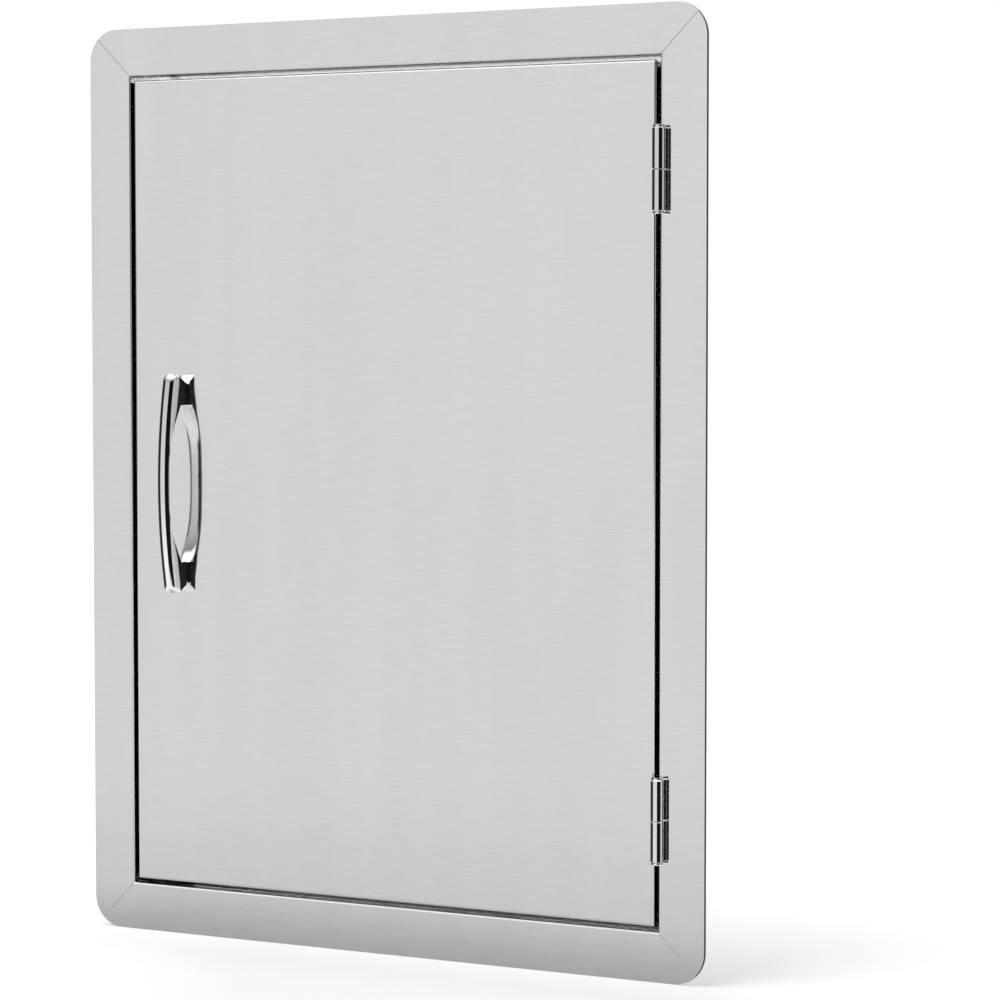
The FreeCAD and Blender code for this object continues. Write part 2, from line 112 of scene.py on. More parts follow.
def add(tree, kind, values=None, **settings):
    """Adds a node; values fill its sockets, and a socket as a value becomes a link."""
    node = tree.nodes.new(kind)
    for name, value in settings.items():
        setattr(node, name, value)
    for name, value in (values or {}).items():
        if isinstance(value, bpy.types.NodeSocket):
            tree.links.new(value, node.inputs[name])
        else:
            node.inputs[name].default_value = value
    return node


def calculate(tree, operation, *terms):
    """Adds a math node for an operation on sockets and numbers and returns its output."""
    return add(tree, "ShaderNodeMath", dict(enumerate(terms)), operation=operation).outputs[0]


def place_math(tree, operation, *terms):
    """The same for places and colours, whose three numbers are worked on together."""
    return add(tree, "ShaderNodeVectorMath", dict(enumerate(terms)), operation=operation).outputs[0]


def scaled(tree, colour, factor):
    """Makes a colour lighter or darker by a factor."""
    return add(tree, "ShaderNodeVectorMath", {0: colour, "Scale": factor}, operation="SCALE").outputs[0]


def between(tree, value, low, high, start=0.0, end=1.0):
    """Goes from start to end while a value goes from low to high, and no further."""
    return add(tree, "ShaderNodeMapRange", {"Value": value, "From Min": low, "From Max": high,
                                            "To Min": start, "To Max": end}).outputs[0]


def mixed(tree, share, first, second, **settings):
    """Mixes two colours: a share of 0 gives the first and 1 the second."""
    return add(tree, "ShaderNodeMix", {0: share, 6: first, 7: second}, data_type="RGBA", **settings).outputs[2]

# %% [markdown]
# ## Starting an effect and a material
#
# Both effects below have the same outer form: a tone and some numbers go in, and a
# colour, a roughness and a height come out. So one helper starts such a group and
# one leads its results out. A material takes them up in the same way each time:
# colour to colour, and the height through a Bump node, which tilts the light
# without moving the surface. What is the same all over a surface, such as how
# metallic it is, is set on the shader itself.

# %% Groups and materials
def new_group(name, numbers):
    """Starts a node group and returns it with its inputs, its outputs and the place on the piece."""
    tree = bpy.data.node_groups.new(name, "ShaderNodeTree")
    face = tree.interface
    face.new_socket("Tone", in_out="INPUT", socket_type="NodeSocketColor")
    for socket, value in numbers.items():
        face.new_socket(socket, in_out="INPUT", socket_type="NodeSocketFloat").default_value = value
    face.new_socket("Color", in_out="OUTPUT", socket_type="NodeSocketColor")
    for socket in ("Roughness", "Height"):
        face.new_socket(socket, in_out="OUTPUT", socket_type="NodeSocketFloat")
    start, end = tree.nodes.new("NodeGroupInput"), tree.nodes.new("NodeGroupOutput")
    return tree, start.outputs, end.inputs, tree.nodes.new("ShaderNodeTexCoord").outputs["Object"]


def lead_out(tree, inputs, outputs, change, roughness, height):
    """Leads out the tone, lighter or darker by the change, and the other results."""
    tone = scaled(tree, inputs["Tone"], calculate(tree, "ADD", change, 1.0))
    for socket, value in (("Color", tone), ("Roughness", roughness), ("Height", height)):
        tree.links.new(value, outputs[socket])


def new_material(name, metallic, **constants):
    """Starts a material and returns it with its tree and its Principled shader."""
    material = bpy.data.materials.new(name)
    material.use_nodes = True
    tree = material.node_tree
    shader = tree.nodes["Principled BSDF"]
    shader.inputs["Metallic"].default_value = metallic
    for socket, value in constants.items():
        shader.inputs[socket].default_value = value
    return material, tree, shader


def take_up(tree, shader, effect, strength, lift):
    """Leads an effect's colour and its height, as a relief, to the shader."""
    relief = add(tree, "ShaderNodeBump", {"Height": effect.outputs["Height"], "Strength": strength,
                                          "Distance": lift * mm})
    tree.links.new(effect.outputs["Color"], shader.inputs["Base Color"])
    tree.links.new(relief.outputs["Normal"], shader.inputs["Normal"])

# %% [markdown]
# ## Effect: brushed grain
#
# Sheet for outdoor kitchens is ground with a belt, which leaves thousands of short parallel scratches. They are too
# fine to model, so noise is stretched along the belt's direction: low frequency along, high frequency across. Each
# scratch smears what it mirrors across itself, so a light or dark patch of the room shows as a soft upright band; a
# second noise, stretched upwards, puts such bands into the tone as a painted reflection.

# %% Brushed grain
def brushed_grain_group():
    tree, inputs, outputs, place = new_group("brushed_grain", {
        "Roughness": 0.1, "Streaks": 0.12, "Painted reflections": 0.08, "Along": 60.0, "Across": 1000.0})

    def stretched_noise(level, up, detail):
        """Noise around zero, with one frequency level with the floor and another upwards."""
        scale = add(tree, "ShaderNodeCombineXYZ", {"X": level, "Y": level, "Z": up})
        stretched = place_math(tree, "MULTIPLY", place, scale.outputs[0])
        noise = add(tree, "ShaderNodeTexNoise", {"Vector": stretched, "Scale": 1.0, "Detail": detail})
        return calculate(tree, "SUBTRACT", noise.outputs["Fac"], 0.5)

    streak = stretched_noise(inputs["Along"], inputs["Across"], 3.0)
    # Painted reflection: soft upright bands of light and dark in the tone.
    band = stretched_noise(28.0, 4.0, 2.0)
    change = calculate(tree, "ADD", calculate(tree, "MULTIPLY", streak, inputs["Streaks"]),
                       calculate(tree, "MULTIPLY", band, inputs["Painted reflections"]))
    rough = calculate(tree, "MULTIPLY_ADD", streak, 0.04, inputs["Roughness"])
    lead_out(tree, inputs, outputs, change, rough, streak)
    return tree


brushed_grain = brushed_grain_group()


def brushed_steel(name, tone, roughness, streaks=0.12, along=60.0, across=1000.0, anisotropy=0.5):
    """Ground sheet: reflections are drawn out across the grain and stay crisp along it."""
    material, tree, shader = new_material(name, 1.0, Anisotropic=anisotropy)
    grain = add(tree, "ShaderNodeGroup", {"Tone": grey(tone), "Roughness": roughness, "Streaks": streaks,
                                          "Painted reflections": 0.08, "Along": along, "Across": across},
                node_tree=brushed_grain)
    take_up(tree, shader, grain, 0.2, 0.003)
    tree.links.new(grain.outputs["Roughness"], shader.inputs["Roughness"])
    upright = add(tree, "ShaderNodeCombineXYZ", {"X": 0.02, "Y": 0.03, "Z": 1.0})
    tree.links.new(upright.outputs[0], shader.inputs["Tangent"])
    return material


print("group", brushed_grain.name, "has", len(brushed_grain.nodes), "nodes")

# %% [markdown]
# ## Effect: handling marks
#
# Polished castings, plastics and rubber are never the same all over. Soft
# clouds at two sizes stand for polishing waves, mould flow or dust, and the group
# gives them as a tone, a roughness and a height that each material scales.

# %% Handling marks
def handling_marks_group():
    tree, inputs, outputs, place = new_group("handling_marks", {
        "Roughness": 0.4, "Contrast": 0.05, "Cloud size": 40.0, "Fine size": 900.0})
    clouds, specks = [add(tree, "ShaderNodeTexNoise", {"Vector": place, "Scale": inputs[size], "Detail": 2.0})
                      for size in ("Cloud size", "Fine size")]
    cloud = calculate(tree, "SUBTRACT", clouds.outputs["Fac"], 0.5)
    change = calculate(tree, "MULTIPLY", cloud, inputs["Contrast"])
    rough = calculate(tree, "MULTIPLY_ADD", cloud, inputs["Contrast"], inputs["Roughness"])
    lead_out(tree, inputs, outputs, change, rough, specks.outputs["Fac"])
    return tree


handling_marks = handling_marks_group()


def marked_material(name, colour, roughness, metallic=0.0, contrast=0.08, clouds=40.0, fine=900.0, lift=0.02):
    """Plain material with soft clouds of tone and a fine relief."""
    material, tree, shader = new_material(name, metallic)
    marks = add(tree, "ShaderNodeGroup", {"Tone": colour, "Roughness": roughness, "Contrast": contrast,
                                          "Cloud size": clouds, "Fine size": fine}, node_tree=handling_marks)
    take_up(tree, shader, marks, 0.4, lift)
    tree.links.new(marks.outputs["Roughness"], shader.inputs["Roughness"])
    return material


print("group", handling_marks.name, "has", len(handling_marks.nodes), "nodes")

# %% [markdown]
# ## Polished chrome and the finishes
#
# The handle and the hinge barrels are buffed until they mirror the room. Their
# roughness is zero, so their look comes from what stands around them, and only a
# faint long wave in the surface, left by the buffing wheel, keeps the mirror
# images from being perfect.
#
# Each of the record's eleven material slots gets one finish, and two more are for places on the frame: a near-black
# steel on the flange's edge, which is painted shade, and the dressed weld. The tones are written as they should
# appear under plain light: the brushed sheet is a light neutral grey and the chrome a little brighter.

# %% Materials by slot
def polished_chrome(name, tone, wave_size, wave_height):
    material, tree, shader = new_material(name, 1.0, Roughness=0.0)
    marks = add(tree, "ShaderNodeGroup", {"Tone": grey(tone), "Contrast": 0.04, "Cloud size": 60.0,
                                          "Fine size": wave_size}, node_tree=handling_marks)
    take_up(tree, shader, marks, 0.3, wave_height)
    return material


finish = {
    "frame_steel": brushed_steel("frame_brushed_steel", 0.635, 0.1),
    "door_steel": brushed_steel("door_brushed_steel", 0.64, 0.1),
    "inner_steel": brushed_steel("inner_satin_steel", 0.58, 0.3, streaks=0.2, along=40.0, across=600.0,
                                 anisotropy=0.4),
    "handle_chrome": polished_chrome("handle_polished_chrome", 0.74, 90.0, 0.004),
    "hinge_steel": polished_chrome("hinge_polished_steel", 0.72, 160.0, 0.003),
    "washer_nylon": marked_material("hinge_washer_nylon", (0.2, 0.2, 0.2, 1.0), 0.45),
    "fastener_steel": marked_material("zinc_plated_fasteners", (0.62, 0.62, 0.6, 1.0), 0.28, metallic=1.0,
                                      contrast=0.12, clouds=300.0, lift=0.004),
    "catch_plastic": marked_material("catch_grey_plastic", (0.16, 0.165, 0.17, 1.0), 0.5, clouds=120.0,
                                     fine=2400.0, lift=0.03),
    "magnet_ferrite": marked_material("magnet_ferrite", (0.055, 0.053, 0.05, 1.0), 0.65, contrast=0.2,
                                      clouds=500.0, fine=3000.0, lift=0.05),
    "pole_steel": marked_material("pole_plate_steel", (0.5, 0.5, 0.49, 1.0), 0.35, metallic=1.0, contrast=0.15,
                                  clouds=200.0, lift=0.006),
    "bumper_rubber": marked_material("bumper_black_rubber", (0.022, 0.022, 0.023, 1.0), 0.75, contrast=0.25,
                                     clouds=150.0, fine=2600.0, lift=0.04),
}
# A near-black steel, painted shade for the dark line along the flange's outer edge.
painted_dark_edge = brushed_steel("frame_painted_dark_edge", 0.035, 0.4, streaks=0.3, anisotropy=0.2)
weld_seam = marked_material("frame_weld_seam", grey(0.5), 0.6, metallic=0.1, contrast=0.2, clouds=200.0)
slot_of = {part["node"]: part["material_slot"] for part in frame["record"]["subparts"]}
body_of = {name: body for body, names in frame["record"]["behaviour"]["bodies"].items() for name in names}
for name, node in nodes.items():
    node.data.materials.clear()
    node.data.materials.append(finish[slot_of[name]])
print("finished", len(nodes), "CAD nodes")

# %% [markdown]
# ## Copies of the CAD nodes
#
# A CAD node's mesh is loose triangles. To work on a piece, its mesh is copied and
# merged into one skin, and triangles that lie in one plane are joined again. The
# worked copy becomes a piece of its own, rides where the node does and takes its
# place. Weighted normals let large faces decide the shading at a bend's edge, so
# that the bend looks round and the flat stays flat.

# %% Copies and pieces
def new_piece(name, mesh, body, slot):
    """Makes an object of a finished mesh, which rides on a body and has a slot's finish."""
    mesh.materials.append(finish[slot])
    piece = bpy.data.objects.new(name, mesh)
    bpy.context.scene.collection.objects.link(piece)
    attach(piece, body)
    return piece


def merged_copy(name):
    """A bmesh of a CAD node with its loose triangles joined into faces."""
    made = bmesh.new()
    made.from_mesh(nodes[name].data)
    bmesh.ops.remove_doubles(made, verts=made.verts, dist=0.002 * mm)
    bmesh.ops.dissolve_limit(made, angle_limit=math.radians(1), verts=made.verts, edges=made.edges,
                             delimit={"NORMAL"})
    return made


def shade(made, degrees=30):
    """Smooth everywhere except over edges that turn more than the angle."""
    for face in made.faces:
        face.smooth = True
    for edge in made.edges:
        edge.smooth = len(edge.link_faces) == 2 and edge.calc_face_angle() < math.radians(degrees)


def edges_at(points):
    """The edges at some points, each once and in the same order in every run."""
    return list(dict.fromkeys(edge for point in points for edge in point.link_edges))


def mesh_of(made, name):
    mesh = bpy.data.meshes.new(name)
    made.to_mesh(mesh)
    made.free()
    return mesh


def stand_in(name, made):
    """Makes a piece of a worked copy of a CAD node and lets it replace the node."""
    shade(made)
    piece = new_piece(name + "_dressed", mesh_of(made, name + "_dressed"), body_of[name], slot_of[name])
    weigh = piece.modifiers.new("flat_faces", "WEIGHTED_NORMAL")
    weigh.keep_sharp = True
    weigh.weight = 100
    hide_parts(name)
    return piece

# %% [markdown]
# ## Softened edges
#
# A CAD edge is perfectly sharp. Nothing real is: a turned cap has a small chamfer
# and a moulded housing a tiny radius, and light catches on them. A bevel gives
# both. It only takes material away, so the copy never leaves the CAD's space.

# %% Softened edges
def sharp_edges(made, degrees):
    return [edge for edge in made.edges if len(edge.link_faces) == 2
            and edge.calc_face_angle() > math.radians(degrees)]


def soften(made, edges, width, segments):
    """Rounds edges and returns the new faces."""
    return bmesh.ops.bevel(made, geom=edges, offset=width, offset_type="OFFSET", affect="EDGES", segments=segments,
                           profile=0.5, material=-1, clamp_overlap=True)["faces"]


def softened_piece(name, width, segments=2):
    """Replaces a CAD node by a copy with softened edges."""
    made = merged_copy(name)
    soften(made, sharp_edges(made, 40), width * mm, segments)
    print(stand_in(name, made).name, "edges softened by", width, "mm")

# %% [markdown]
# ## Frame, door skin and liner
#
# The sheet parts already have their true bends in the CAD model, in flats of nine
# degrees each. Their copies only need shading: the bends smooth, the flats flat.
# The flange's outer edge is a folded hem. It, and on the hinge side the fold beside it, get a near-black steel, which
# is painted shade for the dark line they show. The mitres are welded and dressed, which leaves a fine dull line.
# Both places are found by where their faces lie, and get a material of their own.

# %% Sheet parts
flange_half_width, flange_half_height, flange_corner = 228.6 * mm, 304.8 * mm, 21 * mm
seam_depth, fold_radius = 0.35 * mm, 0.35 * mm


def outline_distance(point):
    """Distance in the frame's plane from the flange's rounded outline."""
    x = abs(point.x) - (flange_half_width - flange_corner)
    z = abs(point.z) - (flange_half_height - flange_corner)
    outside = math.hypot(max(x, 0.0), max(z, 0.0))
    return abs(outside + min(max(x, z), 0.0) - flange_corner)


def frame_member(name):
    """Gives a member's rim faces the near-black painted shade and its seam faces the weld, and rounds the fold that
    faces the camera, which gets the painted shade too.
    """
    made = merged_copy(name)
    rim = [face for face in made.faces if abs(face.normal.y) < 0.3
           and all(outline_distance(point.co) < 0.1 * mm for point in face.verts)]
    seam = [face for face in made.faces if 0.5 < abs(face.normal.y) < 0.9
            and all(point.co.y < front_y + seam_depth for point in face.verts)]
    for index, faces in ((1, rim), (2, seam)):
        for face in faces:
            face.material_index = index
    print(name, "rim faces", len(rim), "seam faces", len(seam))
    # The rounded fold on the hinge side gets the painted shade as well.
    if name == "right_stile":
        fold = dict.fromkeys(edge for face in rim for edge in face.edges
                             if all(point.co.y < front_y + 0.01 * mm for point in edge.verts))
        for face in soften(made, list(fold), fold_radius, 2):
            face.material_index = 1
    materials = stand_in(name, made).data.materials
    materials.append(painted_dark_edge)
    materials.append(weld_seam)


for name in ("top_rail", "bottom_rail", "left_stile", "right_stile"):
    frame_member(name)
for name in ("door_skin", "door_liner", "door_brace", "handle_backing_plate"):
    stand_in(name, merged_copy(name))

# %% [markdown]
# ## Hinges
#
# Each hinge is two leaves with a round knuckle each, a thin nylon washer between
# the knuckles, and a pin with a cap at both ends. The caps are a little narrower
# than the knuckles, whose chamfers catch the light as a bright ring. Only what shows
# in front is polished: the leaves' flats keep the sheet's satin finish. The corner
# between a cap and its shaft is left sharp, because a fillet there would touch the
# turning knuckle.

# %% Hinges
hinge_x, hinge_y = 197.9 * mm, -6.5 * mm
pin_reach, cap_radius = 3 * mm, 3.55 * mm
leaf_plain_from = 0.5 * mm
hinge_edges = {"door_leaf": (0.6, 1), "frame_leaf": (0.6, 1), "pin": (0.4, 2), "washer": (0.1, 1)}


def narrow_caps(made):
    """Draws the pin's caps in, so that the knuckles' chamfers show beside them."""
    for point in made.verts:
        across = Vector((point.co.x - hinge_x, point.co.y - hinge_y))
        if across.length > pin_reach:
            across *= cap_radius / across.length
            point.co.x, point.co.y = hinge_x + across.x, hinge_y + across.y


for side in ("upper", "lower"):
    for piece, (width, segments) in hinge_edges.items():
        name = side + "_hinge_" + piece
        made = merged_copy(name)
        edges = sharp_edges(made, 40)
        if piece == "pin":
            narrow_caps(made)
            edges = [edge for edge in edges if edge.is_convex]
        soften(made, edges, width * mm, segments)
        dressed = stand_in(name, made)
        if piece.endswith("leaf"):
            dressed.data.materials.append(finish["inner_steel"])
            for face in dressed.data.polygons:
                face.material_index = int(face.center.y > leaf_plain_from)
        print(dressed.name, len(dressed.data.polygons), "faces")

# %% [markdown]
# ## Handle
#
# The handle is a cast bow, buffed to a mirror. Seen from the front it has a
# narrow waist and broader ends; its front is fully round, its flanks draw in to a
# flat rear, and two flared feet carry it. The bow is lofted: a circle of points is
# set at each of many stations along the handle, pressed into the section that
# belongs there, and neighbouring circles are bridged. First come the lines that the
# sections follow. Heights are measured forward from the door's face.

# %% Handle lines, from the CAD node
handle_low, handle_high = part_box("handle")
handle_x = (handle_low.x + handle_high.x) / 2
half_length = (handle_high.z - handle_low.z) / 2
height = front_y - handle_low.y
tip_height, grip_rear, fillet_rear, fillet_z = 15.0 * mm, 17.2 * mm, 5.0 * mm, 53.0 * mm
foot_low, foot_high, foot_lean = 52.2 * mm, 67.0 * mm, 0.6
waist_half, ends_broader = 4.55 * mm, 1.15 * mm


def bow_front(z):
    return height - (height - tip_height) * (z / half_length) ** 2


def bow_rear(z):
    """The gap behind the bow ends in a fillet above each foot; beyond it the bow is the foot's head."""
    if abs(z) < fillet_z:
        return fillet_rear + (grip_rear - fillet_rear) * (1 - abs(z / fillet_z) ** 3) ** 0.9
    return max(fillet_rear, (abs(z) - foot_high) / foot_lean)


def bow_widest(z):
    """Half width and height of the widest line, which runs on into the foot's side."""
    half = waist_half + ends_broader * min(1.0, abs(z) / (50 * mm)) ** 1.5
    return half, max(bow_rear(z) + 2.2 * mm, 9.6 * mm - 0.2 * (abs(z) - 56 * mm))


print("handle", round(2 * half_length / mm, 1), "mm long,", round(height / mm, 1), "mm proud")

# %% [markdown]
# ### The section
#
# The section is one outline from the front's middle to the rear's middle, and its
# mirror image: an arc for the crown, a flank that grows longer towards the feet, and
# a rounded edge to the flat rear. Flank and edge are Bezier curves, because those
# leave the arc in its own direction and need only one point to steer each. Near the
# tips the whole section shrinks, which closes the ends as a dome.

# %% Handle section
crown_radius, crown_turn, crown_steps = 4.9 * mm, math.radians(62), 12
tip_dome, dome_power, smallest = 4.5 * mm, 2.2, 0.12


def bezier(start, steer, end, count):
    """Points after the start of a curve from start to end, drawn towards steer."""
    shares = [number / count for number in range(1, count + 1)]
    return [start * (1 - t) ** 2 + steer * 2 * t * (1 - t) + end * t ** 2 for t in shares]


def half_section(z):
    front, rear = bow_front(z), bow_rear(z)
    half, depth = bow_widest(z)
    arc = [Vector((crown_radius * math.sin(turn), front - crown_radius * (1 - math.cos(turn))))
           for turn in (crown_turn * number / crown_steps for number in range(crown_steps + 1))]
    start, widest = arc[-1], Vector((half, min(depth, arc[-1].y - 0.8 * mm)))
    reach = (start.y - widest.y) * 0.5
    steer = Vector((start.x + reach * math.cos(crown_turn) / math.sin(crown_turn), start.y - reach))
    steer.x = min(steer.x, half)
    flank = bezier(start, steer, widest, 10)
    broad = min(1.0, max(0.0, (abs(z) - 26 * mm) / (18 * mm)))
    flat = Vector((half * (0.45 + 0.38 * broad), rear))
    edge = bezier(widest, Vector((half * (0.82 + 0.17 * broad), rear + 0.3 * mm)), flat, 8)
    return arc + flank + edge + [Vector((flat.x / 2, rear))]


def section(z):
    """The closed outline at height z, rounded off towards the tip."""
    right = half_section(z)
    left = [Vector((-point.x, point.y)) for point in right[:0:-1]]
    beyond = max(0.0, (abs(z) - half_length + tip_dome) / tip_dome)
    size = max(smallest, (1 - min(1.0, beyond) ** dome_power) ** (1 / dome_power))
    middle = 0.4 * bow_front(z) + 0.6 * bow_rear(z)
    return [Vector((handle_x + point.x * size, front_y - middle - (point.y - middle) * size, z))
            for point in right + [Vector((0.0, bow_rear(z)))] + left]


print("section of", len(section(0.0)), "points")

# %% [markdown]
# ### The bow
#
# Stations crowd towards the tips, where the section changes fastest, because their
# heights follow a sine. Each starts as a plain circle of as many points as the
# section has, so bridging joins like with like. One face closes each end.

# %% Handle bow
stations = 81

bow = bmesh.new()
loops = []
for number in range(stations):
    z = half_length * math.sin(math.pi / 2 * (2 * number / (stations - 1) - 1))
    outline = section(z)
    ring = bmesh.ops.create_circle(bow, segments=len(outline), radius=1.0, cap_ends=False)["verts"]
    for point, place in zip(ring, outline):
        point.co = place
    loops.append(edges_at(ring))
for lower, upper in zip(loops, loops[1:]):
    bmesh.ops.bridge_loops(bow, edges=lower + upper)
for end in (loops[0], loops[-1]):
    bmesh.ops.contextual_create(bow, geom=end)
bmesh.ops.recalc_face_normals(bow, faces=bow.faces)
print("bow", len(bow.faces), "faces")

# %% [markdown]
# ### The feet
#
# A foot is a block that flares where it meets the door and leans outwards under the
# tip. It is one flat face on the door, drawn forward twice, and its four long
# corners are rounded. The face goes into each extrusion with its edges, because
# only then does Blender remove it where it would be left inside the block. A
# Boolean joins both feet to the bow, because the real handle is one casting and
# shows no seam between them. It needs closed bodies, so the result is counted.

# %% Handle feet
foot_levels = ((0.0, 8.0 * mm), (2.0 * mm, 6.1 * mm), (9.2 * mm, 5.65 * mm))
foot_corner = 0.7 * mm


def foot_block(side):
    """One foot, below or above the middle; the levels are pairs of height and half width."""
    made = bmesh.new()
    bottom = bmesh.ops.create_grid(made, x_segments=1, y_segments=1, size=1.0)["verts"]
    inner, outer = side * foot_low, side * foot_high
    for point in bottom:
        z = outer if point.co.y > 0 else inner
        point.co = Vector((handle_x + point.co.x * foot_levels[0][1], front_y, z))
    level = list(made.faces)
    for depth, half in foot_levels[1:]:
        rims = [edge for face in level for edge in face.edges]
        grown = bmesh.ops.extrude_face_region(made, geom=level + rims)["geom"]
        level = [item for item in grown if isinstance(item, bmesh.types.BMFace)]
        for point in [item for item in grown if isinstance(item, bmesh.types.BMVert)]:
            is_outer = abs(abs(point.co.z) - foot_low) > 2 * mm
            point.co = Vector((handle_x + math.copysign(half, point.co.x - handle_x), front_y - depth,
                               side * (foot_high + foot_lean * depth) if is_outer else inner))
    bmesh.ops.recalc_face_normals(made, faces=made.faces)
    corners = [edge for edge in made.edges if abs(edge.verts[0].co.y - edge.verts[1].co.y) > mm]
    soften(made, corners, foot_corner, 3)
    return made


handle_piece = new_piece("handle_casting", mesh_of(bow, "handle_casting"), body_of["handle"], slot_of["handle"])
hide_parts("handle")
feet = []
for side in (-1, 1):
    foot = bpy.data.objects.new("foot", mesh_of(foot_block(side), "foot"))
    bpy.context.scene.collection.objects.link(foot)
    joining = handle_piece.modifiers.new("join_foot", "BOOLEAN")
    joining.operation = "UNION"
    joining.solver = "EXACT"
    joining.object = foot
    feet.append(foot)
bpy.context.view_layer.update()
joined = bpy.data.meshes.new_from_object(handle_piece.evaluated_get(bpy.context.evaluated_depsgraph_get()))
handle_piece.modifiers.clear()
for foot in feet:
    bpy.data.objects.remove(foot)
casting = bmesh.new()
casting.from_mesh(joined)
shade(casting, 28)
loose_edges = sum(len(edge.link_faces) != 2 for edge in casting.edges)
casting.to_mesh(handle_piece.data)
casting.free()
print("handle", len(handle_piece.data.polygons), "faces, edges without two faces:", loose_edges)

# %% [markdown]
# ## Screws
#
# Small hexagon screws hold the catches, and two hexagon machine screws hold the
# handle from inside the door. The thread is one profile triangle turned about the
# screw while it climbs: a spin with a step along the axis, which is what a die does
# to a real screw. A screw is built upright and then turned to lie along the depth.

# %% Screws
hexagon_flat = math.cos(math.radians(30))
spin_steps = 16


def thread(part, core, length, pitch):
    """Winds a thread round the core, from near the point to just under the head."""
    turns = int((length - 0.8 * mm) / pitch)
    profile = bmesh.ops.create_circle(part, cap_ends=False, segments=3, radius=0.42 * pitch)["verts"]
    for point in profile:
        point.co = Vector((core + point.co.x * 0.8, 0, point.co.y - length + 0.6 * mm))
    bmesh.ops.spin(part, geom=profile + edges_at(profile), cent=(0, 0, 0), axis=(0, 0, 1),
                   dvec=(0, 0, pitch / spin_steps), angle=math.tau * turns, steps=turns * spin_steps, use_merge=False)
    bmesh.ops.holes_fill(part, edges=[edge for edge in part.edges if edge.is_boundary], sides=3)


def hex_screw_mesh(name, places, way, head_radius, head_height, shank_radius, length, pitch):
    """Several equal screws in one mesh; way is the side along Y that the points face."""
    made = bmesh.new()
    for x, y, z in places:
        part = bmesh.new()
        bmesh.ops.create_circle(part, cap_ends=True, segments=6, radius=head_radius)
        top = bmesh.ops.extrude_face_region(part, geom=list(part.faces))["geom"]
        bmesh.ops.translate(part, verts=[item for item in top if isinstance(item, bmesh.types.BMVert)],
                            vec=(0, 0, head_height))
        upper = [edge for edge in part.edges if all(point.co.z > head_height / 2 for point in edge.verts)]
        soften(part, upper, 0.1 * head_radius, 2)
        core = shank_radius - 0.35 * pitch
        bmesh.ops.create_cone(part, cap_ends=True, segments=24, radius1=core * 0.9, radius2=core, depth=length,
                              matrix=Matrix.Translation((0, 0, -length / 2)))
        thread(part, core, length, pitch)
        bmesh.ops.recalc_face_normals(part, faces=part.faces)
        turned = Matrix.Translation((x, y, z)) @ Matrix.Rotation(math.radians(90 * way), 4, "X")
        bmesh.ops.transform(part, matrix=turned, verts=part.verts)
        shade(part, 35)
        one = mesh_of(part, "one")
        made.from_mesh(one)
        bpy.data.meshes.remove(one)
    return mesh_of(made, name)


def screws_piece(node, places, way, **sizes):
    """Replaces a node of plain screws by threaded ones."""
    name = node + "_threaded"
    piece = new_piece(name, hex_screw_mesh(name, places, way, **sizes), body_of[node], slot_of[node])
    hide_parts(node)
    print(name, len(places), "screws,", len(piece.data.polygons), "faces")


catch_ear, ear_inset = 1.9 * mm, 4 * mm
low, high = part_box("catch_screws")
catch_x, ear_y = (low.x + high.x) / 2, low.y + catch_ear
catch_spots = []
for side in ("lower", "upper"):
    housing_low, housing_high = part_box(side + "_catch_housing")
    catch_spots += [(catch_x, ear_y, z) for z in (housing_low.z + ear_inset, housing_high.z - ear_inset)]
screws_piece("catch_screws", catch_spots, 1, head_radius=3.2 * mm, head_height=catch_ear, shank_radius=1.7 * mm,
             length=11 * mm, pitch=1.1 * mm)

head_radius, head_height = 4.0 * mm, 2.8 * mm
low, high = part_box("handle_screws")
foot_z = high.z - head_radius * hexagon_flat
screws_piece("handle_screws", [(handle_x, high.y - head_height, z) for z in (-foot_z, foot_z)], -1,
             head_radius=head_radius, head_height=head_height, shank_radius=2.0 * mm, length=9.5 * mm,
             pitch=0.7 * mm)

# %% [markdown]
# ## Catches, strikes and bumpers
#
# Small moulded and pressed pieces inside the door. They only need their edges
# softened: a moulding has a radius of a few tenths everywhere, a rubber bumper a
# rounder one, and a sheared plate almost none. The magnets are bare sintered
# blocks in their housings, so they keep the CAD's shape.

# %% Catches, strikes and bumpers
for side in ("upper", "lower"):
    softened_piece(side + "_catch_housing", 0.4)
    softened_piece(side + "_strike_plate", 0.2)
    softened_piece(side + "_catch_poles", 0.15)
softened_piece("door_bumpers", 0.7, segments=3)

# %% [markdown]
# ## Reading the light
#
# The room is made for photographing metal, so the floor and the tent need to know
# what looks at them. A Light Path node tells whether a ray comes from the camera or
# from a shiny surface, and how many shiny surfaces it has met. A colour ramp turns
# a distance or a direction into a brightness.

# %% Helpers for the room
def mirror_rays(tree, path):
    """1 for a ray from a polished surface or one that has bounced between metals."""
    deep = calculate(tree, "GREATER_THAN", path.outputs["Glossy Depth"], 1.5)
    return calculate(tree, "MAXIMUM", path.outputs["Is Singular Ray"], deep)


def distance_from_object(tree):
    """Distance on the floor from the strip that the object stands on."""
    place = tree.nodes.new("ShaderNodeTexCoord").outputs["Object"]
    flat = place_math(tree, "MULTIPLY", place, (1.0, 1.0, 0.0))
    past = place_math(tree, "SUBTRACT", place_math(tree, "ABSOLUTE", flat), (0.2, 0.0, 0.0))
    outside = place_math(tree, "MAXIMUM", past, (0.0, 0.0, 0.0))
    return add(tree, "ShaderNodeVectorMath", {0: outside}, operation="LENGTH").outputs["Value"]


def level_ramp(tree, value, levels):
    """A colour ramp of greys: levels are pairs of place and level, from 0 to 1."""
    ramp = add(tree, "ShaderNodeValToRGB", {"Fac": value})
    stops = ramp.color_ramp.elements
    stops[0].position, stops[0].color = levels[0][0], grey(levels[0][1])
    stops[1].position, stops[1].color = levels[-1][0], grey(levels[-1][1])
    for place, level in levels[1:-1]:
        stops.new(place).color = grey(level)
    return ramp.outputs["Color"]
